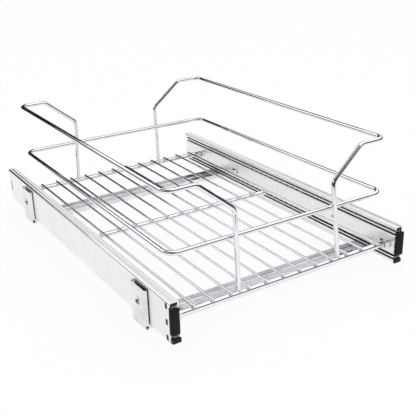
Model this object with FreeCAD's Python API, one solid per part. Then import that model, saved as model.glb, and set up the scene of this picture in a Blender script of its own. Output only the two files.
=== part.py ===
import FreeCAD, Part
import math
import os

V = FreeCAD.Vector
X = V(1, 0, 0)
Y = V(0, 1, 0)
Z = V(0, 0, 1)
SMALL = 0.01

# A pull-out wire basket for a base cabinet, closed. It runs on two three-section ball slides,
# and the slides stand on two sheet cross-members that screw to the cabinet floor.
# X is the width, +Y points to the back of the cabinet, Z is up, in millimetres.

# Overall sizes
SLIDE_LENGTH = 550.0
SLIDE_SPAN = 362.0
SLIDE_HEIGHT = 53.0
SLIDE_THICKNESS = 14.0
RAIL_HEIGHT = 171.0

# Wires of the basket
THICK_WIRE = 6.0
CROSS_ROD = 8.0
FLOOR_WIRE = 3.5
FLOOR_WIRE_COUNT = 12
WELD_GAP = 0.05

# Basket places, measured from the slides' ends, undersides and inner webs
FRONT_ROD_BACK = 13.0
REAR_ROD_INSET = 53.0
MIDDLE_ROD_SHIFT = 7.0
MIDDLE_ROD_OVERHANG = 3.0
FLOOR_EDGE = 24.0
UPRIGHT_WIRE = 2.5
UPRIGHT_LEAN = 3.0
ROD_END_GAP = 0.3
ROD_EDGE = 0.8
WIRE_TIP_TURN = 50.0
FRONT_LEAN = 0.103
REAR_LEAN = 0.035
RAIL_INSET = 3.0
LOWER_BEND_HEIGHT = 131.0
BEND_SPREAD = 46.0
LOOP_HEIGHT = 96.5
LOOP_CORNER = 14.0
RAIL_CORNER = 12.0

# Slide sections: sheet thicknesses, balls and running gaps
OUTER_SHEET = 1.8
MIDDLE_SHEET = 1.4
INNER_SHEET = 1.6
CAGE_SHEET = 0.6
OUTER_BALL = 4.0
INNER_BALL = 3.8
RUNNING_GAP = 0.3
CAGE_GAP = 0.4
LIP_STEP = 0.8
OUTER_LIP = 4.6
MIDDLE_LIP = 3.1
INNER_LIP = 4.2
OUTER_BEND = 1.7
MIDDLE_BEND = 1.5
INNER_BEND = 1.6
FRONT_SETBACK = 0.5
REAR_SETBACK = 5.0

# Ball cages
BALL_PITCH = 13.5
BALLS_PER_ROW = 16
CAGE_END = 5.0
INNER_CAGE_SHIFT = 22.0
CAGE_WINDOW = 8.0
BALL_CLEARANCE = 0.25
CAGE_RIM = 1.0
CAGE_BEND = 0.7
CAGE_LIP_GAP = 0.2

# Front fittings of the slides
BUMPER_REACH = 5.0
BUMPER_FOOT = 11.0
BUMPER_HEAD = 8.0
BUMPER_INSET = 2.0
BUMPER_PLUG = 6.0
BUMPER_CORNER = 1.6
CAP_DEPTH = 12.0
CAP_NOSE = 4.0
CAP_WALL = 1.0
CAP_CORNER = 0.9
CAP_SLOT_BACK = 6.7
CAP_SLOT_WIDTH = 3.5
CAP_SLOT_HEIGHT = 6.5
CAP_SLOT_EDGE = 6.0
REAR_SLOT_HEIGHT = 18.0
REAR_SLOT_INSET = 8.0
PLASTIC_FIT = 0.1
LUG_GAP = 0.15

# Hooks of the inner sections, which carry the ends of the cross rods
HOOK_SHELF = 8.0
HOOK_MARGIN = 1.0
HOOK_EAR = 6.5
HOOK_BACK = 8.0
HOOK_BEND = 1.6
HOOK_WINDOW_HEIGHT = 6.0
HOOK_WINDOW_FRONT = 6.5
SPARE_HOOK_GAP = 118.0
WEB_HOLE = 5.0
WEB_HOLE_BACK = 123.0
FRONT_HOLE_BACK = 23.6

# Cross-members
MEMBER_SHEET = 1.6
MEMBER_WIDTH = 32.0
MEMBER_DEPTH = 8.0
FRONT_MEMBER_BACK = 68.0
REAR_MEMBER_INSET = 95.0
MEMBER_BEND = 2.4
TONGUE_WIDTH = 32.0
BRACKET_WIDTH = 38.0
BRACKET_STANDOFF = 5.0
BRACKET_BEND = 3.0
BRACKET_GAP = 1.0
BRACKET_DROP = 7.0
BRACKET_FOOT = 7.5
FLOOR_SLOT_LENGTH = 30.0
FLOOR_SLOT_WIDTH = 8.5
FLOOR_SLOT_INSET = 19.0
SCREW_SIZE = 4.0
SCREW_HEAD = 8.0
SCREW_HEAD_HEIGHT = 2.2
SCREW_CROWN = 1.2
SCREW_HOLE_GAP = 0.1
CUP_FLOOR = 6.0
CUP_MOUTH = 6.0
RECESS_DEPTH = 1.2
RECESS_WIDTH = 1.1
RECESS_LENGTH = 4.6

# Places that follow from the sizes above
SLIDE_BASE = MEMBER_DEPTH
SLIDE_MIDDLE = SLIDE_BASE + SLIDE_HEIGHT / 2
FRONT = -(SLIDE_LENGTH - BUMPER_REACH) / 2
REAR = FRONT + SLIDE_LENGTH
ROD_Z = SLIDE_MIDDLE
FRONT_ROD_Y = FRONT + FRONT_ROD_BACK
REAR_ROD_Y = REAR - REAR_ROD_INSET
MIDDLE_ROD_Y = (FRONT_ROD_Y + REAR_ROD_Y) / 2 + MIDDLE_ROD_SHIFT
WIRE_Z = ROD_Z + CROSS_ROD / 2 + WELD_GAP + FLOOR_WIRE / 2
WEB_X = SLIDE_SPAN / 2 - SLIDE_THICKNESS
WIRE_EDGE_X = WEB_X - FLOOR_EDGE
WIRE_PITCH = 2 * WIRE_EDGE_X / (FLOOR_WIRE_COUNT - 1)
UPRIGHT_X = WIRE_EDGE_X - UPRIGHT_WIRE * WIRE_PITCH
RAIL_X = WEB_X - RAIL_INSET
RAIL_Z = SLIDE_BASE + RAIL_HEIGHT
LOOP_Z = SLIDE_BASE + LOOP_HEIGHT
BEND_Z = SLIDE_BASE + LOWER_BEND_HEIGHT
FRONT_MEMBER_Y = FRONT + FRONT_MEMBER_BACK
REAR_MEMBER_Y = REAR - REAR_MEMBER_INSET
BRACKET_TOP = SLIDE_BASE + SLIDE_HEIGHT - BRACKET_DROP
OUTER_CAGE_Y = (FRONT + REAR) / 2
INNER_CAGE_Y = OUTER_CAGE_Y + INNER_CAGE_SHIFT


def save(shape, node):
    """Write one sub-part."""
    shape.exportStep("parts/" + node + ".step")


def mirrored(shape):
    """The same piece for the other side of the basket."""
    return shape.mirror(V(0, 0, 0), V(1, 0, 0))


def save_pair(shape, node):
    """A right-hand piece and its left-hand twin."""
    save(shape, node + "_right")
    save(mirrored(shape), node + "_left")


def box(x, y, z):
    """A block between two values on each axis."""
    size = (max(x) - min(x), max(y) - min(y), max(z) - min(z))
    return Part.makeBox(size[0], size[1], size[2], V(min(x), min(y), min(z)))


def rounded_path(points, radius):
    """Straight runs joined by tangent arcs."""
    edges = []
    start = points[0]
    for before, corner, after in zip(points, points[1:], points[2:]):
        back = (before - corner).normalize()
        ahead = (after - corner).normalize()
        half = back.getAngle(ahead) / 2
        reach = radius / math.tan(half)
        inward = (back + ahead).normalize()
        middle = corner + inward * (radius / math.sin(half) - radius)
        first = corner + back * reach
        last = corner + ahead * reach
        edges.append(Part.LineSegment(start, first).toShape())
        edges.append(Part.Arc(first, middle, last).toShape())
        start = last
    edges.append(Part.LineSegment(start, points[-1]).toShape())
    return Part.Wire(edges)


def swept_wire(path, start, direction, diameter):
    """Round wire along a path that leaves its start in the given direction."""
    ring = Part.Wire([Part.makeCircle(diameter / 2, start, direction)])
    solid = Part.Solid(path.makePipeShell([ring], True, False))
    wanted = math.pi * diameter ** 2 / 4 * path.Length
    print("wire volume", round(solid.Volume), "of", round(wanted))
    return solid


def bent_wire(points, radius, diameter):
    """Round wire through the given points, with one bend radius."""
    return swept_wire(rounded_path(points, radius), points[0], points[1] - points[0], diameter)


def sheet_section(points, bend, thickness):
    """Section of bent sheet: a centre line of (across, up) points, thickened to both sides."""
    sides = []
    for side in (1, -1):
        offset = side * thickness / 2
        shifted = []
        for i, (a, b) in enumerate(points):
            before = direction_2d(points[max(i - 1, 0)], points[max(i, 1)])
            after = direction_2d(points[min(i, len(points) - 2)], points[min(i + 1, len(points) - 1)])
            normal = (-(before[1] + after[1]), before[0] + after[0])
            length = math.hypot(*normal)
            turn = (normal[0] * -before[1] + normal[1] * before[0]) / length
            step = offset / (length * turn)
            shifted.append(V(a + normal[0] * step, 0, b + normal[1] * step))
        sides.append(shifted)
    edges = side_edges(sides[0], bend, thickness, 1) + side_edges(sides[1], bend, thickness, -1)
    edges.append(Part.LineSegment(sides[0][0], sides[1][0]).toShape())
    edges.append(Part.LineSegment(sides[0][-1], sides[1][-1]).toShape())
    return Part.Face(Part.Wire(Part.__sortEdges__(edges)))


def direction_2d(start, end):
    """Unit direction from one (across, up) point to the next."""
    step = (end[0] - start[0], end[1] - start[1])
    length = math.hypot(*step)
    return step[0] / length, step[1] / length


def side_edges(points, bend, thickness, side):
    """One side of a bent sheet, its corners rounded about the centre line's bend centres."""
    edges = []
    start = points[0]
    for before, corner, after in zip(points, points[1:], points[2:]):
        back = (before - corner).normalize()
        ahead = (after - corner).normalize()
        left_turn = (corner - before).cross(after - corner).y < 0
        radius = bend - thickness / 2 if left_turn == (side > 0) else bend + thickness / 2
        half = back.getAngle(ahead) / 2
        reach = radius / math.tan(half)
        middle = corner + (back + ahead).normalize() * (radius / math.sin(half) - radius)
        first = corner + back * reach
        last = corner + ahead * reach
        edges.append(Part.LineSegment(start, first).toShape())
        edges.append(Part.Arc(first, middle, last).toShape())
        start = last
    edges.append(Part.LineSegment(start, points[-1]).toShape())
    return edges


def turned_section(points, bend, thickness):
    """A bent sheet's section in the YZ plane, from (along Y, up) points."""
    face = sheet_section(points, bend, thickness)
    face.rotate(V(0, 0, 0), Z, 90)
    return face


def slide_point(depth, height):
    """(x, z) of a point of the right slide: depth in from its outer face, height above its base."""
    return SLIDE_SPAN / 2 - depth, SLIDE_BASE + height


def symmetric(upper):
    """A slide section's centre line: the given upper half and its mirror image below."""
    lower = [(depth, SLIDE_HEIGHT - height) for depth, height in reversed(upper)]
    return [slide_point(depth, height) for depth, height in upper + lower]


def extruded(face, start, end):
    """A section in the XZ plane drawn out along Y."""
    return face.translated(V(0, start, 0)).extrude(V(0, end - start, 0))


def slot_cutter(centre, along, across, width, length, depth):
    """A long hole's cutter with round ends, centred, with its depth along the third axis."""
    normal = along.cross(across)
    reach = along * ((length - width) / 2)
    side = across * (width / 2)
    tip = along * (length / 2)
    a, b = centre + reach + side, centre + reach - side
    c, d = centre - reach - side, centre - reach + side
    edges = [
        Part.Arc(a, centre + tip, b).toShape(),
        Part.LineSegment(b, c).toShape(),
        Part.Arc(c, centre - tip, d).toShape(),
        Part.LineSegment(d, a).toShape(),
    ]
    face = Part.Face(Part.Wire(edges))
    return face.translated(normal * (-depth / 2)).extrude(normal * depth)


# Heights inside the slide section, from its base, for the upper ball rows
OUTER_BALL_TOP = SLIDE_HEIGHT - OUTER_SHEET - RUNNING_GAP
OUTER_BALL_Z = OUTER_BALL_TOP - OUTER_BALL / 2
MIDDLE_TOP = OUTER_BALL_TOP - OUTER_BALL - RUNNING_GAP
INNER_BALL_Z = MIDDLE_TOP - MIDDLE_SHEET - RUNNING_GAP - INNER_BALL / 2
INNER_TOP = INNER_BALL_Z - INNER_BALL / 2 - RUNNING_GAP

# Depths inside the slide section, from its outer face
OUTER_CAGE_U = OUTER_SHEET + CAGE_GAP
MIDDLE_WEB_U = OUTER_CAGE_U + CAGE_SHEET + CAGE_GAP
INNER_CAGE_U = MIDDLE_WEB_U + MIDDLE_SHEET + CAGE_GAP
LIP_U = SLIDE_THICKNESS - LIP_STEP
OUTER_FLANGE_END = LIP_U - OUTER_SHEET - CAGE_GAP
INNER_FLANGE_END = LIP_U - MIDDLE_SHEET - CAGE_GAP
OUTER_BALL_U = OUTER_FLANGE_END - CAGE_RIM - OUTER_BALL / 2
INNER_BALL_U = INNER_FLANGE_END - CAGE_SHEET - RUNNING_GAP - INNER_BALL / 2
INNER_LIP_U = INNER_CAGE_U + CAGE_SHEET + CAGE_GAP


def outer_member():
    """Fixed section, a deep C whose lips hold the outer balls, with slots for its front cap."""
    half = OUTER_SHEET / 2
    lip = LIP_U - half
    top = SLIDE_HEIGHT - half
    upper = [(lip, SLIDE_HEIGHT - OUTER_LIP), (lip, top), (half, top)]
    body = extruded(sheet_section(symmetric(upper), OUTER_BEND, OUTER_SHEET), FRONT, REAR)
    for z in cap_slot_heights():
        place = V(SLIDE_SPAN / 2, FRONT + CAP_SLOT_BACK, z)
        body = body.cut(slot_cutter(place, Z, Y, CAP_SLOT_WIDTH, CAP_SLOT_HEIGHT, 3 * OUTER_SHEET))
    place = V(SLIDE_SPAN / 2, REAR - REAR_SLOT_INSET, SLIDE_MIDDLE)
    body = body.cut(slot_cutter(place, Z, Y, CAP_SLOT_WIDTH, REAR_SLOT_HEIGHT, 3 * OUTER_SHEET))
    for y in (FRONT_MEMBER_Y, REAR_MEMBER_Y):
        body = body.cut(screw_hole(y))
    stop_x = (slide_point(OUTER_SHEET / 2, 0)[0], slide_point(OUTER_FLANGE_END, 0)[0])
    stop_z = (SLIDE_MIDDLE - REAR_SLOT_HEIGHT / 2, SLIDE_MIDDLE + REAR_SLOT_HEIGHT / 2)
    stop = box(stop_x, (REAR - OUTER_SHEET, REAR), stop_z)
    return body.fuse(stop).removeSplitter()


def cap_slot_heights():
    """Heights of the three slots that hold the front cap."""
    spread = SLIDE_HEIGHT / 2 - CAP_SLOT_EDGE
    return [SLIDE_MIDDLE + step * spread for step in (-1, 0, 1)]


def middle_member():
    """Moving section between the two ball stages."""
    half = MIDDLE_SHEET / 2
    lip = LIP_U - half
    top = MIDDLE_TOP - half
    upper = [(lip, MIDDLE_TOP - MIDDLE_LIP), (lip, top), (MIDDLE_WEB_U + half, top)]
    section = sheet_section(symmetric(upper), MIDDLE_BEND, MIDDLE_SHEET)
    return extruded(section, FRONT + FRONT_SETBACK, REAR - REAR_SETBACK)


def inner_member():
    """Section that carries the basket: a flat web with hooks lanced out of it."""
    half = INNER_SHEET / 2
    top = INNER_TOP - half
    web = SLIDE_THICKNESS - half
    lip = INNER_LIP_U + half
    upper = [(lip, INNER_TOP - INNER_LIP), (lip, top), (web, top)]
    section = sheet_section(symmetric(upper), INNER_BEND, INNER_SHEET)
    body = extruded(section, FRONT - RUNNING_GAP, REAR - REAR_SETBACK)
    for y in (FRONT_ROD_Y, REAR_ROD_Y - SPARE_HOOK_GAP, REAR_ROD_Y):
        body = body.cut(hook_window(y)).fuse(hook(y))
    for back in (FRONT_HOLE_BACK, WEB_HOLE_BACK):
        place = V(WEB_X - half, FRONT + back, ROD_Z)
        body = body.cut(Part.makeCylinder(WEB_HOLE / 2, 2 * INNER_SHEET, place, X))
    return body.removeSplitter()


def hook_window(y):
    """Long hole that lancing a hook leaves in the web, above the hook's shelf."""
    bottom = ROD_Z - CROSS_ROD / 2 - WELD_GAP
    length = HOOK_WINDOW_FRONT + HOOK_BACK
    middle_y = y + (HOOK_BACK - HOOK_WINDOW_FRONT) / 2
    centre = V(WEB_X + INNER_SHEET / 2, middle_y, bottom + HOOK_WINDOW_HEIGHT / 2)
    return slot_cutter(centre, Y, Z, HOOK_WINDOW_HEIGHT, length, 2 * INNER_SHEET)


def hook(y):
    """Tongue under a cross rod, its front turned up so that the rod can't slide off."""
    top = ROD_Z - CROSS_ROD / 2 - WELD_GAP
    half = INNER_SHEET / 2
    front = y - CROSS_ROD / 2 - HOOK_MARGIN - half
    back = y + HOOK_BACK - HOOK_MARGIN
    line = [(back, top - half), (front, top - half), (front, top + HOOK_EAR)]
    face = turned_section(line, HOOK_BEND, INNER_SHEET)
    saddle = face.translated(X * (WEB_X - HOOK_SHELF)).extrude(X * (HOOK_SHELF - HOOK_MARGIN))
    root_x = (WEB_X - HOOK_MARGIN, WEB_X + half)
    root = box(root_x, (front + HOOK_BEND, back), (top - INNER_SHEET, top))
    return saddle.fuse(root)


def ball_places(centre):
    """Places along Y of the balls of one row."""
    first = centre - (BALLS_PER_ROW - 1) * BALL_PITCH / 2
    return [first + i * BALL_PITCH for i in range(BALLS_PER_ROW)]


def ball_rows(centre, depth, height, diameter):
    """The upper and lower row of one ball stage, as separate balls."""
    balls = []
    for level in (height, SLIDE_HEIGHT - height):
        x, z = slide_point(depth, level)
        for y in ball_places(centre):
            balls.append(Part.makeSphere(diameter / 2, V(x, y, z)))
    return Part.makeCompound(balls)


def cage(centre, ball_depth, height, diameter, web_depth, end_depth, has_lip):
    """Bent strip that keeps the balls of one stage apart; a lip with windows turns round each row."""
    half = CAGE_SHEET / 2
    upper = [(end_depth - half, height), (web_depth + half, height)]
    if has_lip:
        upper = [(end_depth - half, height - diameter / 2 + CAGE_LIP_GAP)] + upper
    places = ball_places(centre)
    section = sheet_section(symmetric(upper), CAGE_BEND, CAGE_SHEET)
    body = extruded(section, places[0] - CAGE_END, places[-1] + CAGE_END)
    for level in (height, SLIDE_HEIGHT - height):
        x, z = slide_point(ball_depth, level)
        for y in places:
            body = body.cut(ball_pocket(V(x, y, z), diameter))
            if has_lip:
                body = body.cut(cage_window(y, z, diameter, end_depth))
    return body


def ball_pocket(centre, diameter):
    """Hole of a cage round one ball."""
    reach = 4 * CAGE_SHEET
    return Part.makeCylinder(diameter / 2 + BALL_CLEARANCE, reach, centre - Z * (reach / 2), Z)


def cage_window(y, z, diameter, end_depth):
    """Window in a cage's lip beside one ball, on the side towards the slide's middle."""
    inward = -1 if z > SLIDE_MIDDLE else 1
    window_z = (z + inward * CAGE_BEND, z + inward * (diameter / 2 - 2 * CAGE_LIP_GAP))
    near, far = end_depth + CAGE_SHEET, end_depth - 2 * CAGE_SHEET
    window_x = (slide_point(near, 0)[0], slide_point(far, 0)[0])
    return box(window_x, (y - CAGE_WINDOW / 2, y + CAGE_WINDOW / 2), window_z)


def bumper():
    """Soft block on the front end of an inner section, plugged into its C."""
    x = (WEB_X + BUMPER_INSET, SLIDE_SPAN / 2)
    z = (SLIDE_BASE + BUMPER_FOOT, SLIDE_BASE + SLIDE_HEIGHT - BUMPER_HEAD)
    back = FRONT - RUNNING_GAP
    block = box(x, (FRONT - BUMPER_REACH, back), z)
    rounded = [e for e in block.Edges if e.BoundBox.YMax < back - SMALL or along_y(e)]
    block = block.makeFillet(BUMPER_CORNER, rounded)
    depth = SLIDE_THICKNESS - INNER_SHEET - PLASTIC_FIT
    room = INNER_TOP - INNER_SHEET - PLASTIC_FIT - SLIDE_HEIGHT / 2
    lip_side = INNER_LIP_U + INNER_SHEET + PLASTIC_FIT
    plug_x = (slide_point(depth, 0)[0], slide_point(lip_side, 0)[0])
    plug = box(plug_x, (back, FRONT + BUMPER_PLUG), (SLIDE_MIDDLE - room, SLIDE_MIDDLE + room))
    plug = plug.makeFillet(CAP_CORNER, [e for e in plug.Edges if along_y(e)])
    return block.fuse(plug).removeSplitter()


def along_y(edge):
    """Whether an edge runs from front to back."""
    return edge.BoundBox.YLength > 1


def front_cap():
    """Moulded cap in the front of the fixed section; its lugs snap into the section's slots."""
    near = OUTER_SHEET + PLASTIC_FIT
    top = SLIDE_HEIGHT - near
    under = MIDDLE_TOP + CAGE_GAP
    y = (FRONT + FRONT_SETBACK, FRONT + CAP_DEPTH)
    x_near, x_far = slide_point(near, 0)[0], slide_point(OUTER_FLANGE_END - PLASTIC_FIT, 0)[0]
    x_wall = slide_point(near + CAP_WALL, 0)[0]
    parts = [box((x_near, x_wall), y, (SLIDE_BASE + near, SLIDE_BASE + top))]
    for low, high in ((under, top), (near, SLIDE_HEIGHT - under)):
        parts.append(box((x_near, x_far), y, (SLIDE_BASE + low, SLIDE_BASE + high)))
    nose_top = SLIDE_BASE + SLIDE_HEIGHT - under
    nose_x = (x_near, slide_point(LIP_U, 0)[0])
    nose_y = (FRONT - CAP_NOSE, FRONT - PLASTIC_FIT)
    nose = box(nose_x, nose_y, (SLIDE_BASE + PLASTIC_FIT, nose_top))
    rounded = [e for e in nose.Edges if e.BoundBox.YMax < nose_y[0] + SMALL]
    parts.append(nose.makeFillet(BUMPER_CORNER, rounded))
    neck_z = (SLIDE_BASE + near + CAP_CORNER, nose_top)
    parts.append(box((x_near, x_far), (FRONT - CAP_NOSE / 2, y[0] + CAP_WALL), neck_z))
    body = united(parts)
    corners = [e for e in body.Edges if is_cap_corner(e, x_near, top)]
    return united([body.makeFillet(CAP_CORNER, corners)] + cap_lugs(x_near))


def is_cap_corner(edge, x_near, top):
    """Whether an edge of the cap lies in one of the fixed section's bends."""
    beside = edge.BoundBox.XMin > x_near - SMALL and edge.BoundBox.YMin > FRONT - PLASTIC_FIT
    level = abs(edge.CenterOfMass.z - SLIDE_MIDDLE) + SLIDE_HEIGHT / 2
    return beside and along_y(edge) and abs(level - top) < SMALL


def cap_lugs(x_near):
    """Three lugs that fill the slots of the fixed section."""
    width = CAP_SLOT_WIDTH - 2 * LUG_GAP
    length = CAP_SLOT_HEIGHT - 2 * LUG_GAP
    x = x_near + (OUTER_SHEET - CAP_WALL) / 2
    places = [V(x, FRONT + CAP_SLOT_BACK, z) for z in cap_slot_heights()]
    return [slot_cutter(place, Z, Y, width, length, OUTER_SHEET) for place in places]


def united(parts):
    """One solid from touching parts."""
    body = parts[0]
    for part in parts[1:]:
        body = body.fuse(part)
    return body.removeSplitter()


def cross_rod(y, half_length):
    """Straight thick rod across the basket, with its ends broken."""
    rod = Part.makeCylinder(CROSS_ROD / 2, 2 * half_length, V(-half_length, y, ROD_Z), X)
    return rod.makeFillet(ROD_EDGE, [e for e in rod.Edges if e.BoundBox.XLength < SMALL])


def floor_wire(x):
    """Floor wire on top of the three rods, its tips turned down over the front and rear ones."""
    radius = WIRE_Z - ROD_Z
    turn = math.radians(WIRE_TIP_TURN)

    def tip(y, side, angle):
        return V(x, y + side * radius * math.sin(angle), ROD_Z + radius * math.cos(angle))

    start, end = tip(FRONT_ROD_Y, -1, turn), tip(REAR_ROD_Y, 1, turn)
    edges = [
        Part.Arc(start, tip(FRONT_ROD_Y, -1, turn / 2), tip(FRONT_ROD_Y, -1, 0)).toShape(),
        Part.LineSegment(tip(FRONT_ROD_Y, -1, 0), tip(REAR_ROD_Y, 1, 0)).toShape(),
        Part.Arc(tip(REAR_ROD_Y, 1, 0), tip(REAR_ROD_Y, 1, turn / 2), end).toShape(),
    ]
    tangent = V(0, math.cos(turn), math.sin(turn))
    return swept_wire(Part.Wire(edges), start, tangent, FLOOR_WIRE)


def front_y(z):
    """Where the leaning front plane of the uprights is at a height."""
    return FRONT_ROD_Y + FRONT_LEAN * (z - ROD_Z)


def rear_y(z):
    """Where the rear plane of the uprights is at a height."""
    return REAR_ROD_Y - REAR_LEAN * (z - ROD_Z)


def side_rail():
    """One wire: up from the front rod, out to the side, along it and down to the rear rod."""
    bend_x = UPRIGHT_X - UPRIGHT_LEAN
    rise = [(UPRIGHT_X, ROD_Z), (bend_x, BEND_Z), (UPRIGHT_X + BEND_SPREAD, RAIL_Z)]
    points = [V(x, front_y(z), z) for x, z in rise]
    points += [V(RAIL_X, front_y(RAIL_Z), RAIL_Z), V(RAIL_X, rear_y(RAIL_Z), RAIL_Z)]
    points += [V(x, rear_y(z), z) for x, z in reversed(rise)]
    rail = bent_wire(points, RAIL_CORNER, THICK_WIRE)
    reach = THICK_WIRE
    for y in (FRONT_ROD_Y, REAR_ROD_Y):
        start = V(UPRIGHT_X - reach, y, ROD_Z)
        seat = Part.makeCylinder(CROSS_ROD / 2 + WELD_GAP, 2 * reach, start, X)
        below = box((start.x, start.x + 2 * reach), (y - reach, y + reach), (ROD_Z - reach, ROD_Z))
        rail = rail.cut(seat.fuse(below))
    return largest(rail)


def largest(shape):
    """The biggest solid, without the crumbs that a cut leaves beyond a seat."""
    return max(shape.Solids, key=lambda solid: solid.Volume)


def middle_loop():
    """Level closed loop welded to the inner side of the four uprights."""
    step = THICK_WIRE + WELD_GAP
    front = front_y(LOOP_Z) + step * math.hypot(1, FRONT_LEAN)
    rear = rear_y(LOOP_Z) - step * math.hypot(1, REAR_LEAN)
    seam = (RAIL_X, (front + rear) / 2)
    corners = [(RAIL_X, rear), (-RAIL_X, rear), (-RAIL_X, front), (RAIL_X, front)]
    points = [V(x, y, LOOP_Z) for x, y in [seam] + corners + [seam]]
    return bent_wire(points, LOOP_CORNER, THICK_WIRE)


def screw_hole(y):
    """Hole through the fixed section for a bracket screw of the right side."""
    start = V(SLIDE_SPAN / 2 - OUTER_SHEET - 1, y, SLIDE_MIDDLE)
    return Part.makeCylinder(SCREW_SIZE / 2 + SCREW_HOLE_GAP, OUTER_SHEET + 2, start, X)


def cross_member(y):
    """Shallow channel under both slides, which a tongue joins to a bracket outside each."""
    end = dimpled(united([tongue(y), bracket(y)]), y)
    body = united([base_channel(y), end, mirrored(end)])
    for side in (-1, 1):
        centre = V(side * (WEB_X - FLOOR_SLOT_INSET), y, MEMBER_SHEET / 2)
        slot = slot_cutter(centre, X, Y, FLOOR_SLOT_WIDTH, FLOOR_SLOT_LENGTH, 2 * MEMBER_SHEET)
        body = body.cut(slot)
    return body.removeSplitter()


def base_channel(y):
    """Floor and flanges of a cross-member, as long as the slides' span."""
    half = MEMBER_SHEET / 2
    low, high = y - MEMBER_WIDTH / 2 + half, y + MEMBER_WIDTH / 2 - half
    line = [(low, MEMBER_DEPTH), (low, half), (high, half), (high, MEMBER_DEPTH)]
    face = turned_section(line, MEMBER_BEND, MEMBER_SHEET)
    return face.translated(X * (-SLIDE_SPAN / 2)).extrude(X * SLIDE_SPAN)


def tongue(y):
    """Right-hand strip that turns up from the channel's floor into a bracket."""
    half = MEMBER_SHEET / 2
    edge = SLIDE_SPAN / 2 + BRACKET_STANDOFF - half
    line = [(SLIDE_SPAN / 2, half), (edge, half), (edge, BRACKET_FOOT)]
    section = sheet_section(line, MEMBER_BEND, MEMBER_SHEET)
    return extruded(section, y - TONGUE_WIDTH / 2, y + TONGUE_WIDTH / 2)


def bracket(y):
    """Right-hand bracket, an upright channel whose flanges turn towards the slide."""
    half = MEMBER_SHEET / 2
    edge = SLIDE_SPAN / 2 + BRACKET_STANDOFF - half
    flange_end = SLIDE_SPAN / 2 + BRACKET_GAP
    reach = BRACKET_WIDTH / 2 - half
    line = [(flange_end, y - reach), (edge, y - reach), (edge, y + reach), (flange_end, y + reach)]
    face = sheet_section(line, BRACKET_BEND, MEMBER_SHEET)
    face.rotate(V(0, 0, 0), X, -90)
    return face.translated(Z * BRACKET_FOOT).extrude(Z * (BRACKET_TOP - BRACKET_FOOT))


def dimpled(body, y):
    """Drawn cup in a right-hand bracket, whose floor bears on the slide and takes the screw."""
    floor = V(SLIDE_SPAN / 2, y, SLIDE_MIDDLE)
    depth = BRACKET_STANDOFF
    cup = Part.makeCone(CUP_FLOOR, CUP_MOUTH + MEMBER_SHEET, depth, floor, X)
    narrow = CUP_FLOOR - MEMBER_SHEET
    hollow = Part.makeCone(narrow, CUP_MOUTH, depth - MEMBER_SHEET, floor + X * MEMBER_SHEET, X)
    hole = Part.makeCylinder(SCREW_SIZE / 2 + SCREW_HOLE_GAP, depth, floor - X, X)
    return body.fuse(cup).cut(hollow).cut(hole)


def bracket_screws(y):
    """Pan-head screws that hold the two brackets of a cross-member to the slides."""
    screw = bracket_screw(y)
    return Part.makeCompound([mirrored(screw), screw])


def bracket_screw(y):
    """Right-hand screw, seated in a bracket's cup, with a cross recess."""
    seat = V(SLIDE_SPAN / 2 + MEMBER_SHEET, y, SLIDE_MIDDLE)
    top = seat + X * SCREW_HEAD_HEIGHT
    head = Part.makeCylinder(SCREW_HEAD / 2, SCREW_HEAD_HEIGHT, seat, X)
    rim = [e for e in head.Edges if abs(e.BoundBox.Center.x - top.x) < SMALL]
    head = head.makeFillet(SCREW_CROWN, rim)
    grip = MEMBER_SHEET + OUTER_SHEET
    screw = head.fuse(Part.makeCylinder(SCREW_SIZE / 2, grip, seat - X * grip, X))
    for wide, tall in ((RECESS_LENGTH, RECESS_WIDTH), (RECESS_WIDTH, RECESS_LENGTH)):
        x = (top.x - RECESS_DEPTH, top.x + 1)
        screw = screw.cut(box(x, (y - wide / 2, y + wide / 2), (top.z - tall / 2, top.z + tall / 2)))
    return screw.removeSplitter()


def build():
    """Write every sub-part."""
    os.makedirs("parts", exist_ok=True)
    save_pair(outer_member(), "outer_member")
    save_pair(middle_member(), "middle_member")
    save_pair(inner_member(), "inner_member")
    outer_row = (OUTER_CAGE_Y, OUTER_BALL_U, OUTER_BALL_Z, OUTER_BALL)
    inner_row = (INNER_CAGE_Y, INNER_BALL_U, INNER_BALL_Z, INNER_BALL)
    save_pair(cage(*outer_row, OUTER_CAGE_U, OUTER_FLANGE_END, False), "outer_ball_cage")
    save_pair(cage(*inner_row, INNER_CAGE_U, INNER_FLANGE_END, True), "inner_ball_cage")
    save_pair(ball_rows(*outer_row), "outer_balls")
    save_pair(ball_rows(*inner_row), "inner_balls")
    save_pair(bumper(), "bumper")
    save_pair(front_cap(), "front_cap")
    save_pair(side_rail(), "side_rail")
    save(middle_loop(), "middle_loop")
    save(cross_rod(FRONT_ROD_Y, WEB_X - ROD_END_GAP), "front_rod")
    save(cross_rod(REAR_ROD_Y, WEB_X - ROD_END_GAP), "rear_rod")
    save(cross_rod(MIDDLE_ROD_Y, WIRE_EDGE_X + MIDDLE_ROD_OVERHANG), "middle_rod")
    for i in range(FLOOR_WIRE_COUNT):
        save(floor_wire(i * WIRE_PITCH - WIRE_EDGE_X), "floor_wire_%02d" % (i + 1))
    save(cross_member(FRONT_MEMBER_Y), "front_cross_member")
    save(cross_member(REAR_MEMBER_Y), "rear_cross_member")
    save(bracket_screws(FRONT_MEMBER_Y), "front_bracket_screws")
    save(bracket_screws(REAR_MEMBER_Y), "rear_bracket_screws")


build()
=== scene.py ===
import math

import bmesh
import bpy
from mathutils import Matrix, Vector


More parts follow.
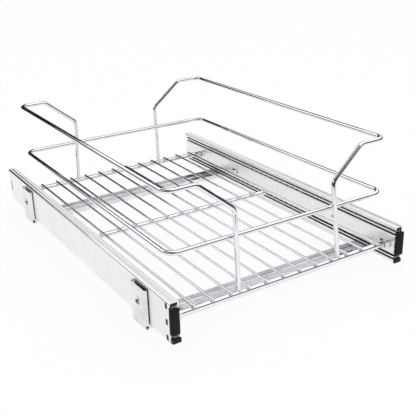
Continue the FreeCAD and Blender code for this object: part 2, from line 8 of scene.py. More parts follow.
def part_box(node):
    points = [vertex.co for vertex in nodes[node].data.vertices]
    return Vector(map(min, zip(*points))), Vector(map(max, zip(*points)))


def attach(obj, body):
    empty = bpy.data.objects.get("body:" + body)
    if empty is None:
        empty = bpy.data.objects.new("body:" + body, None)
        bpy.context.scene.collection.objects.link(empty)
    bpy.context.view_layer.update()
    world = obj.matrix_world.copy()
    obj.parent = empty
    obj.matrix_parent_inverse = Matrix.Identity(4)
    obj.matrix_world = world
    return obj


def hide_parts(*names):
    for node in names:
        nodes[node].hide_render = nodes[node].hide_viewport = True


# A pull-out wire basket for a kitchen cabinet, closed, seen from its front left and above.
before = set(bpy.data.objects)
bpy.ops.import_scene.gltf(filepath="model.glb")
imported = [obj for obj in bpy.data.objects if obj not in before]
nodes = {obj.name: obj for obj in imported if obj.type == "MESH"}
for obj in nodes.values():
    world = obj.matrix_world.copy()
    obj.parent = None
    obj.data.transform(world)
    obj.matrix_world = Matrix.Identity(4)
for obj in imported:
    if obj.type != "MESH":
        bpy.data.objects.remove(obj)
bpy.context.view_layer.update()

# The fixed sections of the two slides. Each is a deep C, roll-formed from 1.8 mm steel strip and
# zinc plated: satin grey with faint lines along it, brighter in its bends, dark in the balls' runs
# with grease and painted shade, and marked by a polished bead along its top with a painted dark reflection.
SIDES = ("left", "right")
SLIDE_MIDDLE = 0.0345
MEMBER_LINES = (-0.2045, 0.1825)


def shader_group(name, inputs, outputs):
    """An empty node group with number inputs, ready for its nodes."""
    group = bpy.data.node_groups.new(name, "ShaderNodeTree")
    for label, value in inputs:
        socket = group.interface.new_socket(label, in_out="INPUT", socket_type="NodeSocketFloat")
        socket.default_value = value
    for label in outputs:
        group.interface.new_socket(label, in_out="OUTPUT", socket_type="NodeSocketFloat")
    return group, group.nodes.new("NodeGroupInput"), group.nodes.new("NodeGroupOutput")


def add_node(tree, kind, **values):
    """A node whose properties or inputs take the given values."""
    node = tree.nodes.new("ShaderNode" + kind)
    for key, value in values.items():
        if hasattr(node, key):
            setattr(node, key, value)
        else:
            node.inputs[key.replace("_", " ")].default_value = value
    return node


def number(tree, operation, *values):
    """One arithmetic step on sockets and plain numbers."""
    node = add_node(tree, "Math", operation=operation)
    for socket, value in zip(node.inputs, values):
        if isinstance(value, float):
            socket.default_value = value
        else:
            tree.links.new(value, socket)
    return node.outputs[0]


def product(tree, first, *others):
    """Masks or numbers multiplied together."""
    for other in others:
        first = number(tree, "MULTIPLY", first, other)
    return first


def distance(tree, source, line):
    """How far a coordinate is from a line."""
    return number(tree, "ABSOLUTE", number(tree, "SUBTRACT", source, line))


def remap(tree, source, low, high, start=0.0, end=1.0):
    """A mask taken from one range to another, and held at its ends."""
    node = add_node(tree, "MapRange", From_Min=start, From_Max=end, To_Min=low, To_Max=high)
    tree.links.new(source, node.inputs["Value"])
    return node.outputs["Result"]


def above(tree, source, start, end):
    """Nothing under the first value and one over the second."""
    return remap(tree, source, 0.0, 1.0, start, end)


def below(tree, source, start, end):
    """One under the first value and nothing over the second."""
    return remap(tree, source, 1.0, 0.0, start, end)


def band(tree, source, low, high, soft):
    """One between two values of a coordinate, fading to nothing over a soft edge outside them."""
    return product(tree, above(tree, source, low - soft, low), below(tree, source, high, high + soft))


def object_axes(tree, kind):
    """The three parts of the place or the normal of a point of the surface, in the object's frame."""
    split = add_node(tree, "SeparateXYZ")
    tree.links.new(add_node(tree, "TexCoord").outputs[kind], split.inputs[0])
    return split.outputs


def noise(tree, **values):
    """Noise that stays with the piece."""
    node = add_node(tree, "TexNoise", **values)
    tree.links.new(add_node(tree, "TexCoord").outputs["Object"], node.inputs["Vector"])
    return node.outputs["Fac"]


def drawn_lines_group():
    """Faint lines that rolling leaves along Y: a mask and a height, finer across than along."""
    group, given, result = shader_group("drawn_lines", [("Fineness", 900.0)], ["Mask", "Height"])
    stretch = add_node(group, "Mapping", Scale=(1.0, 0.012, 1.0))
    group.links.new(add_node(group, "TexCoord").outputs["Object"], stretch.inputs["Vector"])
    lines = add_node(group, "TexNoise", Detail=4.0, Roughness=0.65)
    group.links.new(stretch.outputs["Vector"], lines.inputs["Vector"])
    group.links.new(given.outputs["Fineness"], lines.inputs["Scale"])
    mask = product(group, lines.outputs["Fac"], noise(group, Scale=28.0, Detail=3.0))
    group.links.new(mask, result.inputs["Mask"])
    group.links.new(lines.outputs["Fac"], result.inputs["Height"])
    return group


BEND_FADE = 0.03


def bends_group():
    """Where strip is bent: its normal lies between the axes there."""
    group, given, result = shader_group("bends", [("Flat", 0.992)], ["Mask"])
    first, second, third = (number(group, "ABSOLUTE", part) for part in object_axes(group, "Normal"))
    largest = number(group, "MAXIMUM", number(group, "MAXIMUM", first, second), third)
    share = number(group, "SUBTRACT", given.outputs["Flat"], largest)
    group.links.new(above(group, share, 0.0, BEND_FADE), result.inputs["Mask"])
    return group


def mask_group(name, draw, amount=1.0):
    """A group that puts out one drawn mask, as strong as its Amount."""
    group, given, result = shader_group(name, [("Amount", amount)], ["Mask"])
    group.links.new(product(group, draw(group), given.outputs["Amount"]), result.inputs["Mask"])
    return group


RUN_ACROSS = (0.1684, 0.1786)
RUN_UPRIGHT = (0.0135, 0.0243)
RUN_FADE = 0.0006
RUN_FACING = (0.5, 0.8)


def grease_and_shade_in_runs(tree):
    """The runs of the balls, in the slides' upper and lower edges but not their cut ends: dark with
    lubricant and with painted shade of the deep gaps.
    """
    x, _, z = object_axes(tree, "Object")
    across = band(tree, number(tree, "ABSOLUTE", x), *RUN_ACROSS, RUN_FADE)
    upright = band(tree, distance(tree, z, SLIDE_MIDDLE), *RUN_UPRIGHT, RUN_FADE)
    facing = number(tree, "ABSOLUTE", object_axes(tree, "Normal")[1])
    return product(tree, across, upright, below(tree, facing, *RUN_FACING))


def member_distance(tree, y):
    """How far a point is, along Y, from the middle line of the nearer cross-member."""
    return number(tree, "MINIMUM", *(distance(tree, y, line) for line in MEMBER_LINES))


OUTSIDE_FACE = (0.1805, 0.1816, 0.0002)
SLIT_EDGE = (0.013, 0.0138)
SLIT_TOP = (0.0524, 0.053)
BRACKET_EDGE = (0.0188, 0.0201, 0.0003)
BRACKET_TOP = (0.0535, 0.0545)
LUG_SPACING = 0.0205
LUG_DEPTH = (-0.2691, -0.2645, 0.0002)
LUG_EDGE = (0.0037, 0.0039)


def covered_places(tree):
    """The narrow space behind the brackets and round the caps' lugs, where no light gets in."""
    x, y, z = object_axes(tree, "Object")
    away = member_distance(tree, y)
    slit = product(tree, below(tree, away, *SLIT_EDGE), below(tree, z, *SLIT_TOP))
    edge = product(tree, band(tree, away, *BRACKET_EDGE), below(tree, z, *BRACKET_TOP))
    height = distance(tree, z, SLIDE_MIDDLE)
    from_lug = number(tree, "MINIMUM", height, distance(tree, height, LUG_SPACING))
    lugs = product(tree, band(tree, y, *LUG_DEPTH), below(tree, from_lug, *LUG_EDGE))
    places = number(tree, "MAXIMUM", number(tree, "MAXIMUM", slit, edge), lugs)
    return product(tree, places, band(tree, number(tree, "ABSOLUTE", x), *OUTSIDE_FACE))


BEAD_LEFT = (-0.1757, -0.1745, 0.0003)
BEAD_RIGHT = (0.1732, 0.1778, 0.0006)
BEAD_LEFT_FADE = (0.08, 0.22)
BEAD_RIGHT_FADE = (-0.05, 0.12)
BEAD_TOP = (0.0602, 0.0606)
BEAD_FAINT = 0.15


def polished_bead_and_reflection(tree):
    """The low bead along the top of a fixed section, polished, with a painted dark reflection: the left one
    fades forwards, the right one back.
    """
    x, y, z = object_axes(tree, "Object")
    left = product(tree, band(tree, x, *BEAD_LEFT), remap(tree, y, BEAD_FAINT, 1.0, *BEAD_LEFT_FADE))
    right = product(tree, band(tree, x, *BEAD_RIGHT), remap(tree, y, 1.0, BEAD_FAINT, *BEAD_RIGHT_FADE))
    return product(tree, number(tree, "MAXIMUM", left, right), above(tree, z, *BEAD_TOP))


SLOT_SHADE_ACROSS = (0.128, 0.17, 0.006)
SLOT_SHADE_REACH = (0.009, 0.013)
SLOT_SHADE_PATCHES = (0.34, 0.46)
SLOT_SHADE_LEFT = (-0.01, 0.01)
SLOT_SHADE_LEVEL = (0.8, 0.95)


def slot_shade_patches(tree):
    """Painted shade and dark reflection of the slides round the floor slots, on level faces: at both rear
    slots and the front left one.
    """
    x, y, _ = object_axes(tree, "Object")
    front, rear = (distance(tree, y, line) for line in MEMBER_LINES)
    front = number(tree, "ADD", front, above(tree, x, *SLOT_SHADE_LEFT))
    near = below(tree, number(tree, "MINIMUM", front, rear), *SLOT_SHADE_REACH)
    across = band(tree, number(tree, "ABSOLUTE", x), *SLOT_SHADE_ACROSS)
    patches = above(tree, noise(tree, Scale=110.0, Detail=3.0), *SLOT_SHADE_PATCHES)
    level = above(tree, object_axes(tree, "Normal")[2], *SLOT_SHADE_LEVEL)
    return product(tree, across, near, patches, level)


drawn_lines = drawn_lines_group()
bends = bends_group()
raceway = mask_group("raceway", grease_and_shade_in_runs)
covered = mask_group("covered", covered_places)
bead = mask_group("bead", polished_bead_and_reflection)
slot_shade_group = mask_group("slot_shade_group", slot_shade_patches, amount=0.0)


def place_group(tree, group, **values):
    """The group as a node of a material, with its own values."""
    node = add_node(tree, "Group", node_tree=group)
    for key, value in values.items():
        node.inputs[key].default_value = value
    return node.outputs


def ramp(tree, source, low, high, start, end):
    """A colour ramp from one colour to another over a stretch of a mask."""
    node = add_node(tree, "ValToRGB")
    for element, position, colour in zip(node.color_ramp.elements, (start, end), (low, high)):
        element.position = position
        element.color = (*colour, 1.0)
    tree.links.new(source, node.inputs["Fac"])
    return node.outputs["Color"]


def mixed_colour(tree, mask, first, second):
    """A colour that goes from a socket's to a plain one with a mask."""
    node = add_node(tree, "Mix", data_type="RGBA")
    tree.links.new(mask, node.inputs[0])
    tree.links.new(first, node.inputs[6])
    node.inputs[7].default_value = (*second, 1.0)
    return node.outputs[2]


def mixed_value(tree, mask, first, second):
    """A value that goes from a socket's to a plain number with a mask."""
    node = add_node(tree, "Mix", data_type="FLOAT")
    tree.links.new(mask, node.inputs[0])
    tree.links.new(first, node.inputs[2])
    node.inputs[3].default_value = second
    return node.outputs[0]


def new_material(name):
    """A material with nodes, and its Principled shader."""
    material = bpy.data.materials.new(name)
    material.use_nodes = True
    return material, material.node_tree, material.node_tree.nodes["Principled BSDF"]


def relief(tree, shader, height, strength):
    """Gives a shader fine relief, up to a tenth of a millimetre deep."""
    bump = add_node(tree, "Bump", Strength=strength, Distance=0.0001)
    tree.links.new(height, bump.inputs["Height"])
    tree.links.new(bump.outputs["Normal"], shader.inputs["Normal"])


# Grease in the balls' runs, darkened further as painted shade of the deep gaps.
GREASE_AND_SHADE = (0.055, 0.06, 0.058)
# A painted dark reflection along the polished bead.
BEAD_REFLECTION_GREY = (0.36, 0.38, 0.41)
# Painted shade and dark reflection of the slides round the cross-members' slots.
SLOT_SHADE_GREY = (0.1, 0.12, 0.13)
DEEP_SHADE = (0.006, 0.005, 0.006)
CLOUDED = (0.12, 0.42)
CLOUDED_GLOSS = (0.1, 0.45)
POLISHED_ROUGHNESS = 0.09
GREASED_ROUGHNESS = 0.45
FACING_INWARD = (-0.3, -0.1)
INWARD_WEAR = 0.75
LEVEL_FACE = (0.955, 0.995)


def zinc_plate(name, dark, light, roughness, shine=0.04, grease_and_shade=1.0, scuffed=0.0, slot_shaded=0.0, sheen=1.0):
    """Zinc-plated strip: cloudy and lined along its length. Its level faces have the metal of shine and
    the others that of sheen. Its bends are polished, less so where scuffed or turned inwards."""
    material, tree, shader = new_material(name)
    lines = place_group(tree, drawn_lines)
    mask = lines["Mask"]
    bent = place_group(tree, bends)["Mask"]
    greased_and_shaded = place_group(tree, raceway, Amount=grease_and_shade)["Mask"]
    crest = place_group(tree, bead)["Mask"]
    slot_shading = place_group(tree, slot_shade_group, Amount=slot_shaded)["Mask"]
    hidden = place_group(tree, covered)["Mask"]
    colour = ramp(tree, mask, dark, light, *CLOUDED)
    for part, tint in ((greased_and_shaded, GREASE_AND_SHADE), (crest, BEAD_REFLECTION_GREY), (slot_shading, SLOT_SHADE_GREY), (hidden, DEEP_SHADE)):
        colour = mixed_colour(tree, part, colour, tint)
    tree.links.new(colour, shader.inputs["Base Color"])

    polished = number(tree, "MAXIMUM", bent, crest)
    rough = mixed_value(tree, polished, remap(tree, mask, *roughness, *CLOUDED_GLOSS), POLISHED_ROUGHNESS)
    tree.links.new(mixed_value(tree, greased_and_shaded, rough, GREASED_ROUGHNESS), shader.inputs["Roughness"])

    across, _, upright = object_axes(tree, "Normal")
    inward = product(tree, number(tree, "SIGN", object_axes(tree, "Object")[0]), across)
    worn = product(tree, remap(tree, inward, INWARD_WEAR, 0.0, *FACING_INWARD), bent)
    level = number(tree, "ABSOLUTE", upright)
    metal = number(tree, "MAXIMUM", remap(tree, level, sheen, shine, *LEVEL_FACE), crest)
    unscuffed = remap(tree, bent, 1.0, 1.0 - scuffed)
    metal = product(tree, metal, unscuffed, number(tree, "SUBTRACT", 1.0, worn))
    tree.links.new(metal, shader.inputs["Metallic"])
    relief(tree, shader, lines["Height"], strength=0.12)
    return material


def finish_node(name, material):
    """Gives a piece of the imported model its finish."""
    for slot in nodes[name].material_slots:
        slot.material = material


fixed_zinc = zinc_plate("fixed_zinc", (0.86, 0.857, 0.852), (0.95, 0.947, 0.943), (0.26, 0.36))
for side in SIDES:
    finish_node("outer_member_" + side, fixed_zinc)

# The moving sections: the middle one is a nested C, and the inner one has a flat web with hooks
# lanced out of it, which the basket's rods lie in. They are the same plated strip, with duller bends.
moving_zinc = zinc_plate("moving_zinc", (0.86, 0.852, 0.837), (0.94, 0.932, 0.917), (0.24, 0.34),
                         scuffed=0.75, sheen=0.7)
for side in SIDES:
    finish_node("middle_member_" + side, moving_zinc)
    finish_node("inner_member_" + side, moving_zinc)

# The ball cages are thin bent strips with punched windows in their lips. The balls are polished
# steel and run in grease.
cage_zinc = zinc_plate("cage_zinc", (0.7, 0.7, 0.68), (0.8, 0.8, 0.78), (0.25, 0.35), grease_and_shade=0.0)
ball_steel = zinc_plate("ball_steel", (0.5, 0.5, 0.5), (0.65, 0.65, 0.65), (0.1, 0.16), shine=1.0)
for side in SIDES:
    for stage in ("outer", "inner"):
        finish_node(stage + "_ball_cage_" + side, cage_zinc)
        finish_node(stage + "_balls_" + side, ball_steel)

# The basket's wires are drawn steel, bent, and chrome plated in one piece after welding. The
# chrome has a slight haze and mirrors the dark of the room in thin lines.
CHROME_DARK = (0.84, 0.81, 0.86)
CHROME_LIGHT = (0.9, 0.87, 0.92)
TINT_CLOUDS = (0.35, 0.65)
HAZE_CLOUDS = (0.3, 0.7)


def chrome_plate(name, haze_low, haze_high):
    """Bright chrome with slight haze."""
    material, tree, shader = new_material(name)
    shader.inputs["Metallic"].default_value = 1.0
    haze = noise(tree, Scale=90.0, Detail=4.0)
    tree.links.new(ramp(tree, haze, CHROME_DARK, CHROME_LIGHT, *TINT_CLOUDS), shader.inputs["Base Color"])
    tree.links.new(remap(tree, haze, haze_low, haze_high, *HAZE_CLOUDS), shader.inputs["Roughness"])
    return material


chrome = chrome_plate("wire_chrome", haze_low=0.02, haze_high=0.07)
for name in nodes:
    if name.startswith(("floor_wire", "middle_loop", "side_rail")) or name.endswith("_rod"):
        finish_node(name, chrome)

# Resistance welds join the floor wires to the rods under them: a little metal squeezes out at
# each crossing and is chromed over with the rest.
FLOOR_WIRES = 12
WIRE_RADIUS = 0.00175
NUGGET = (0.0024, 0.0022)
NUGGET_TOP = (0.86, 1.25, 1.0)
NUGGET_FOOT = (1.3, 1.15, 1.0)
NUGGET_CROWN = 0.3
END_FACE = 0.99


def new_piece(add_primitive, name, **values):
    """A new primitive, alone in the selection."""
    bpy.ops.object.select_all(action="DESELECT")
    add_primitive(**values)
    bpy.context.object.name = name
    return bpy.context.object


def edit_whole(piece):
    """Opens one piece for editing, with all its faces selected."""
    bpy.ops.object.select_all(action="DESELECT")
    piece.select_set(True)
    bpy.context.view_layer.objects.active = piece
    bpy.ops.object.mode_set(mode="EDIT")
    bpy.ops.mesh.select_mode(type="FACE")
    bpy.ops.mesh.select_all(action="SELECT")


def pick_faces(piece, test):
    """Selects only the faces whose normal passes the test, in edit mode."""
    bpy.ops.mesh.select_all(action="DESELECT")
    shape = bmesh.from_edit_mesh(piece.data)
    for face in shape.faces:
        face.select_set(test(face.normal))
    bmesh.update_edit_mesh(piece.data)


def apply_modifier(piece, kind, **values):
    """Adds a modifier to a piece and applies it."""
    modifier = piece.modifiers.new(kind.lower(), kind)
    for key, value in values.items():
        setattr(modifier, key, value)
    bpy.context.view_layer.objects.active = piece
    bpy.ops.object.modifier_apply(modifier=modifier.name)


def copied(piece, name, place):
    """A copy of a piece with its own mesh, moved by the given matrix."""
    twin = bpy.data.objects.new(name, piece.data.copy())
    twin.data.transform(place)
    bpy.context.scene.collection.objects.link(twin)
    return twin


def joined(pieces, name):
    """Like pieces made one."""
    bpy.ops.object.select_all(action="DESELECT")
    for piece in pieces:
        piece.select_set(True)
    bpy.context.view_layer.objects.active = pieces[0]
    bpy.ops.object.join()
    pieces[0].name = name
    return pieces[0]


def weld_nugget():
    """Metal squeezed out between a wire along Y, above, and a rod along X, below."""
    radius, height = NUGGET
    piece = new_piece(bpy.ops.mesh.primitive_cylinder_add, "weld_nugget", vertices=12, radius=radius,
                      depth=height, location=(0, 0, 0))
    edit_whole(piece)
    centre = Vector((0, 0, height / 2))
    for sign, spread in ((1, NUGGET_TOP), (-1, NUGGET_FOOT)):
        pick_faces(piece, lambda normal: sign * normal.z > END_FACE)
        bpy.ops.transform.resize(value=spread, center_override=sign * centre)
        bpy.ops.mesh.inset(thickness=radius * NUGGET_CROWN)
    bpy.ops.object.mode_set(mode="OBJECT")
    apply_modifier(piece, "SUBSURF", levels=1, render_levels=1)
    bpy.ops.object.shade_smooth()
    return piece


def finished_piece(piece, body, material):
    """A new piece with its finish, on the body that carries it."""
    piece.data.materials.clear()
    piece.data.materials.append(material)
    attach(piece, body)


nugget = weld_nugget()
wire_lines = [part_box("floor_wire_%02d" % i)[0].x + WIRE_RADIUS for i in range(1, FLOOR_WIRES + 1)]
for rod in ("front_rod", "middle_rod", "rear_rod"):
    low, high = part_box(rod)
    rod_y = (low.y + high.y) / 2
    beads = [copied(nugget, "bead", Matrix.Translation((x, rod_y, high.z))) for x in wire_lines]
    finished_piece(joined(beads, rod + "_welds"), "basket", chrome)

# The rails' feet stand on the front and rear rods, and the loop is welded to the inner side of
# the four uprights, with the same squeezed-out metal.
UPRIGHT_FOOT = 0.078
UPRIGHT_AT_LOOP = 0.076
FOOT_SINK = 0.0003
FOOT_GROWTH = Matrix.Scale(1.45, 4)
LOOP_GROWTH = Matrix.Scale(1.25, 4)
feet = []
for rod in ("front_rod", "rear_rod"):
    low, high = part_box(rod)
    for x in (-UPRIGHT_FOOT, UPRIGHT_FOOT):
        place = Matrix.Translation((x, (low.y + high.y) / 2, high.z - FOOT_SINK))
        feet.append(copied(nugget, "bead", place @ FOOT_GROWTH))
finished_piece(joined(feet, "upright_foot_welds"), "basket", chrome)
loop_low, loop_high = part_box("middle_loop")
loop_z = (loop_low.z + loop_high.z) / 2
ties = []
for y, turn in ((loop_low.y, 90), (loop_high.y, -90)):
    for x in (-UPRIGHT_AT_LOOP, UPRIGHT_AT_LOOP):
        place = Matrix.Translation((x, y, loop_z)) @ Matrix.Rotation(math.radians(turn), 4, "X")
        ties.append(copied(nugget, "bead", place @ LOOP_GROWTH))
finished_piece(joined(ties, "loop_welds"), "basket", chrome)
bpy.data.objects.remove(nugget)

# The loop is one wire whose ends meet in a butt weld half way along its right side: a lumpy ring
# that is only roughly ground before plating.
LOOP_RADIUS = 0.003
SEAM_RADIUS = 0.0029
SEAM_START = -0.0125
SEAM_STEPS = ((0.0006, 1.09), (0.0009, 1.07), (0.0011, 0.93), (0.001, 1.06), (0.0012, 1.02),
              (0.0009, 0.94), (0.0007, 0.91))
SEAM_LUMPS = 0.00016


def settle(piece):
    """Moves a finished piece's place into its mesh, with its object at the origin."""
    piece.data.transform(piece.matrix_world)
    piece.matrix_world = Matrix.Identity(4)


seam_x = loop_high.x - LOOP_RADIUS
seam_y = SEAM_START
seam = new_piece(bpy.ops.mesh.primitive_circle_add, "loop_seam", vertices=20, radius=SEAM_RADIUS,
                 fill_type="NGON", location=(seam_x, seam_y, loop_z), rotation=(math.radians(90), 0, 0))
settle(seam)
edit_whole(seam)
for step, factor in SEAM_STEPS:
    bpy.ops.mesh.extrude_region_move(TRANSFORM_OT_translate={"value": (0, step, 0)})
    seam_y += step
    bpy.ops.transform.resize(value=(factor, 1.0, factor), center_override=(seam_x, seam_y, loop_z))
bpy.ops.mesh.select_all(action="SELECT")
bpy.ops.mesh.normals_make_consistent(inside=False)
bpy.ops.transform.vertex_random(offset=SEAM_LUMPS, seed=5)
bpy.ops.object.mode_set(mode="OBJECT")
apply_modifier(seam, "SUBSURF", levels=2, render_levels=2)
bpy.ops.object.shade_smooth()
rough_chrome = chrome_plate("seam_chrome", haze_low=0.12, haze_high=0.3)
finished_piece(seam, "basket", rough_chrome)

# A soft rubber bumper closes the front of each inner section: a block with rounded edges and a
# raised pad, and a plug that is pressed into the section's C.
BUMPER_NEAR = 0.169
BUMPER_BACK = -0.2728
BUMPER_EDGE = 0.0016
PAD_RISE = 0.0007
PAD_MARGIN = 0.0007
PAD_TAPER = (0.88, 1.0, 0.96)
PAD_RIM = 0.0006
PLUG_MARGIN = 0.0007
PLUG_RIM = 0.0005
FINE_EDGE = 0.0003
MOULD_CLOUDS = (0.3, 0.7)


def moulded(name, low, high, roughness):
    """Black moulded plastic or rubber with a fine grain."""
    material, tree, shader = new_material(name)
    cloud = noise(tree, Scale=60.0, Detail=3.0)
    tree.links.new(ramp(tree, cloud, low, high, *MOULD_CLOUDS), shader.inputs["Base Color"])
    tree.links.new(remap(tree, cloud, *roughness, *MOULD_CLOUDS), shader.inputs["Roughness"])
    shader.inputs["Specular IOR Level"].default_value = 0.2
    relief(tree, shader, noise(tree, Scale=1800.0, Detail=2.0), strength=0.3)
    return material


def block(name, low, high):
    """A cube between two corners, ready to be shaped, with its place in its mesh."""
    piece = new_piece(bpy.ops.mesh.primitive_cube_add, name, size=1.0, location=(low + high) / 2)
    piece.scale = high - low
    bpy.context.view_layer.update()
    settle(piece)
    return piece


def rubber_bumper():
    """The right-hand bumper."""
    low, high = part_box("bumper_right")
    piece = block("bumper_block_right", Vector((BUMPER_NEAR, low.y + PAD_RISE, low.z)),
                  Vector((high.x, BUMPER_BACK, high.z)))
    pad_centre = ((BUMPER_NEAR + high.x) / 2, low.y, (low.z + high.z) / 2)
    edit_whole(piece)
    bpy.ops.mesh.bevel(offset=BUMPER_EDGE, segments=3, affect="EDGES")
    pick_faces(piece, lambda normal: -normal.y > END_FACE)
    bpy.ops.mesh.inset(thickness=PAD_MARGIN)
    bpy.ops.mesh.extrude_region_move(TRANSFORM_OT_translate={"value": (0, -PAD_RISE, 0)})
    bpy.ops.transform.resize(value=PAD_TAPER, center_override=pad_centre)
    bpy.ops.mesh.inset(thickness=PAD_RIM)
    pick_faces(piece, lambda normal: normal.y > END_FACE)
    bpy.ops.mesh.inset(thickness=PLUG_MARGIN)
    bpy.ops.mesh.extrude_region_move(TRANSFORM_OT_translate={"value": (0, high.y - BUMPER_BACK, 0)})
    bpy.ops.mesh.inset(thickness=PLUG_RIM)
    bpy.ops.object.mode_set(mode="OBJECT")
    apply_modifier(piece, "BEVEL", width=FINE_EDGE, segments=2, limit_method="ANGLE",
                   angle_limit=math.radians(35))
    bpy.ops.object.shade_smooth_by_angle(angle=math.radians(40))
    return piece


def mirrored_copy(piece, name):
    """The piece for the other side, turned right side out again."""
    twin = copied(piece, name, Matrix.Scale(-1.0, 4, (1, 0, 0)))
    edit_whole(twin)
    bpy.ops.mesh.normals_make_consistent(inside=False)
    bpy.ops.object.mode_set(mode="OBJECT")
    return twin


rubber = moulded("bumper_rubber", (0.006, 0.0045, 0.0045), (0.014, 0.011, 0.011), (0.5, 0.7))
right_bumper = rubber_bumper()
left_bumper = mirrored_copy(right_bumper, "bumper_block_left")
for side, piece in (("right", right_bumper), ("left", left_bumper)):
    finished_piece(piece, "basket", rubber)
    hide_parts("bumper_" + side)

# A moulded cap closes the front of each fixed section. Its lugs snap into three slots of the
# section and its nose stands out under the bumper.
plastic = moulded("cap_plastic", (0.004, 0.007, 0.007), (0.012, 0.018, 0.018), (0.1, 0.2))
for side in SIDES:
    finish_node("front_cap_" + side, plastic)

# The cross-members are shallow channels with upright brackets at their ends, pressed from sheet
# and bright zinc plated, with painted shade and reflection round the slots that screw them to the cabinet
# floor.
# Pan-head screws, yellow from their plating, hold the brackets to the slides.
member_zinc = zinc_plate("member_zinc", (0.66, 0.67, 0.69), (0.97, 0.97, 0.98), (0.16, 0.26),
                         shine=0.1, grease_and_shade=0.0, slot_shaded=1.0)
screw_zinc = zinc_plate("screw_zinc", (0.4, 0.28, 0.18), (0.62, 0.5, 0.36), (0.2, 0.35), grease_and_shade=0.0)
for end in ("front", "rear"):
    finish_node(end + "_cross_member", member_zinc)
    finish_node(end + "_bracket_screws", screw_zinc)

# The studio's floor is white paper that keeps the object's shadow. Under the slots of the cross-members
# it is painted dark, as painted shade of the gap under them, and only mirror-like surfaces see where it
# ends.
FLOOR_SIZE = 7.0
PAPER = (0.93, 0.93, 0.93)
PAPER_GLOW = 0.9
TABLE_EDGE = (0.75, 1.0)
FLOOR_SHADE_IN_SLOT = (0.1, 0.1, 0.11)
SLOT_LENGTH = (0.133, 0.163, 0.001)
SLOT_EDGE = (0.0043, 0.0048)


def mixed_surface(tree, mask, first, second):
    """A material's surface that goes from one shader to another with a mask."""
    mix = add_node(tree, "MixShader")
    for source, socket in zip((mask, first.outputs[0], second.outputs[0]), mix.inputs):
        tree.links.new(source, socket)
    tree.links.new(mix.outputs[0], tree.nodes["Material Output"].inputs["Surface"])


def show_white(tree, shader):
    """Lets the camera see the floor as nearly white paper, and mirrors the part near the object so."""
    glow = add_node(tree, "Emission")
    seen = add_node(tree, "LightPath").outputs
    x, y, _ = object_axes(tree, "Object")
    away = number(tree, "SQRT", number(tree, "ADD", product(tree, x, x), product(tree, y, y)))
    strength = below(tree, product(tree, away, seen["Is Glossy Ray"]), *TABLE_EDGE)
    tree.links.new(strength, glow.inputs["Strength"])
    # Painted shade on the paper under the cross-members' slots.
    slot = product(tree, band(tree, number(tree, "ABSOLUTE", x), *SLOT_LENGTH),
                   below(tree, member_distance(tree, y), *SLOT_EDGE))
    paper = add_node(tree, "RGB").outputs[0]
    paper.default_value = (*PAPER, 1.0)
    tree.links.new(mixed_colour(tree, slot, paper, FLOOR_SHADE_IN_SLOT), shader.inputs["Base Color"])
    either = number(tree, "MAXIMUM", seen["Is Camera Ray"], seen["Is Glossy Ray"])
    share = product(tree, either, number(tree, "SUBTRACT", 1.0, slot), PAPER_GLOW)
    mixed_surface(tree, share, shader, glow)


floor = new_piece(bpy.ops.mesh.primitive_plane_add, "floor", size=FLOOR_SIZE, location=(0, 0, 0))
floor_paint, floor_tree, floor_shader = new_material("floor_paint")
floor_shader.inputs["Roughness"].default_value = 0.9
floor_shader.inputs["Specular IOR Level"].default_value = 0.1
show_white(floor_tree, floor_shader)
floor.data.materials.append(floor_paint)

# Black cards stand behind the object and to its right, so that the chrome shows a second dark
# line along each wire. Only mirror-like surfaces see them.
CARD_GLOW = 0.02
CARDS = (
    ("black_card", (0.01, 0.85, 0.31), (0.88, 0.62, 1.0)),
    ("black_card_right", (0.54, 0.85, 0.53), (0.18, 0.18, 1.0)),
    ("black_card_middle", (0.55, 0.85, 0.71), (0.8, 0.18, 1.0)),
    ("black_card_top", (0.725, 0.85, 1.05), (1.15, 0.5, 1.0)),
)
card_paint, card_tree, _ = new_material("card_paint")
mirrored_only = add_node(card_tree, "LightPath").outputs["Is Glossy Ray"]
mixed_surface(card_tree, mirrored_only, add_node(card_tree, "BsdfTransparent"),
              add_node(card_tree, "Emission", Strength=CARD_GLOW))
for name, place, size in CARDS:
    card = new_piece(bpy.ops.mesh.primitive_plane_add, name, size=1.0, location=place,
                     rotation=(math.radians(90), 0, 0))
    card.scale = size
    card.data.materials.append(card_paint)

# The room's light is white and soft from all sides. Mirror-like surfaces see more of the real
# room: a bright ceiling, dark behind the camera, and a dark strip over the left side.
SKY = 1.25
ROOM_LIGHT = (0.06, 0.01)
ROOM_DEPTH = (-0.7, 0.3)
CEILING_TILT = 0.2
CEILING_EDGE = (0.45, 0.49)
STRIP_ACROSS = (0.859, 0.512)
STRIP_EDGE = (0.3, 0.38)
STRIP_FOOT = (0.3, 0.4)
STRIP_LENGTH = (-0.95, 0.45, 0.1)
LAMP_PLACE = (-0.6, -0.4, 2.2)
LAMP_SIZE = (2.4, 1.8)
LAMP_POWER = 4.0


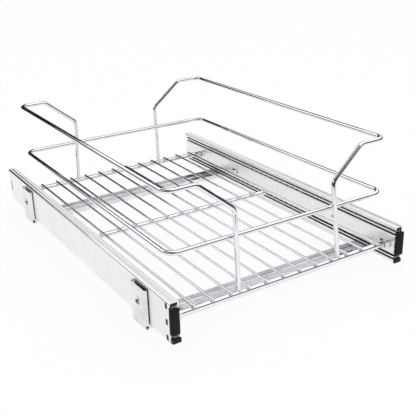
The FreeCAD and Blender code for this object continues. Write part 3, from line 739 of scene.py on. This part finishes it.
def studio_world():
    """One plain white for all but mirror-like surfaces, which see the room."""
    world = bpy.data.worlds.new("studio")
    bpy.context.scene.world = world
    world.use_nodes = True
    tree = world.node_tree
    split = add_node(tree, "SeparateXYZ")
    tree.links.new(add_node(tree, "TexCoord").outputs["Generated"], split.inputs[0])
    x, y, z = split.outputs
    lower = remap(tree, y, 0.0, CEILING_TILT, -CEILING_TILT, CEILING_TILT)
    ceiling = above(tree, number(tree, "ADD", z, lower), *CEILING_EDGE)
    beside = number(tree, "ADD", *(product(tree, part, share) for part, share in zip((x, z), STRIP_ACROSS)))
    strip = product(tree, below(tree, number(tree, "ABSOLUTE", beside), *STRIP_EDGE),
                    above(tree, z, *STRIP_FOOT), band(tree, y, *STRIP_LENGTH))
    bright = product(tree, ceiling, number(tree, "SUBTRACT", 1.0, strip))
    mirrored = mixed_value(tree, bright, remap(tree, y, *ROOM_LIGHT, *ROOM_DEPTH), SKY)
    glossy = add_node(tree, "LightPath").outputs["Is Glossy Ray"]
    background = tree.nodes["Background"]
    background.inputs["Color"].default_value = (1.0, 1.0, 1.0, 1.0)
    strength = mixed_value(tree, number(tree, "SUBTRACT", 1.0, glossy), mirrored, 1.0)
    tree.links.new(strength, background.inputs["Strength"])


studio_world()
bpy.ops.object.light_add(type="AREA", location=LAMP_PLACE)
lamp = bpy.context.object
lamp.name = "overhead_lamp"
lamp.data.shape = "RECTANGLE"
lamp.data.size, lamp.data.size_y = LAMP_SIZE
lamp.data.energy = LAMP_POWER

# The camera stands to the left in front of the basket, above it and a little tilted, as it did
# for the photograph.
IMAGE_SIZE = 416
FOCAL_PIXELS = 721.5
SENSOR = 36.0
CAMERA_PLACE = (-0.5063, -0.8859, 0.4602)
CAMERA_AZIMUTH = math.radians(-31.8)
CAMERA_ELEVATION = math.radians(22.51)
CAMERA_ROLL = math.radians(-1.66)
camera_data = bpy.data.cameras.new("camera")
camera_data.sensor_width = SENSOR
camera_data.lens = FOCAL_PIXELS / IMAGE_SIZE * SENSOR
camera = bpy.data.objects.new("camera", camera_data)
bpy.context.scene.collection.objects.link(camera)
right = Vector((math.cos(CAMERA_AZIMUTH), math.sin(CAMERA_AZIMUTH), 0))
back = Vector((
    math.sin(CAMERA_AZIMUTH) * math.cos(CAMERA_ELEVATION),
    -math.cos(CAMERA_AZIMUTH) * math.cos(CAMERA_ELEVATION),
    math.sin(CAMERA_ELEVATION),
))
up = back.cross(right)
rolled_right = right * math.cos(CAMERA_ROLL) + up * math.sin(CAMERA_ROLL)
rolled_up = up * math.cos(CAMERA_ROLL) - right * math.sin(CAMERA_ROLL)
turn = Matrix((rolled_right, rolled_up, back)).transposed().to_4x4()
camera.matrix_world = Matrix.Translation(CAMERA_PLACE) @ turn
bpy.context.scene.camera = camera
bpy.context.scene.view_settings.view_transform = "Standard"
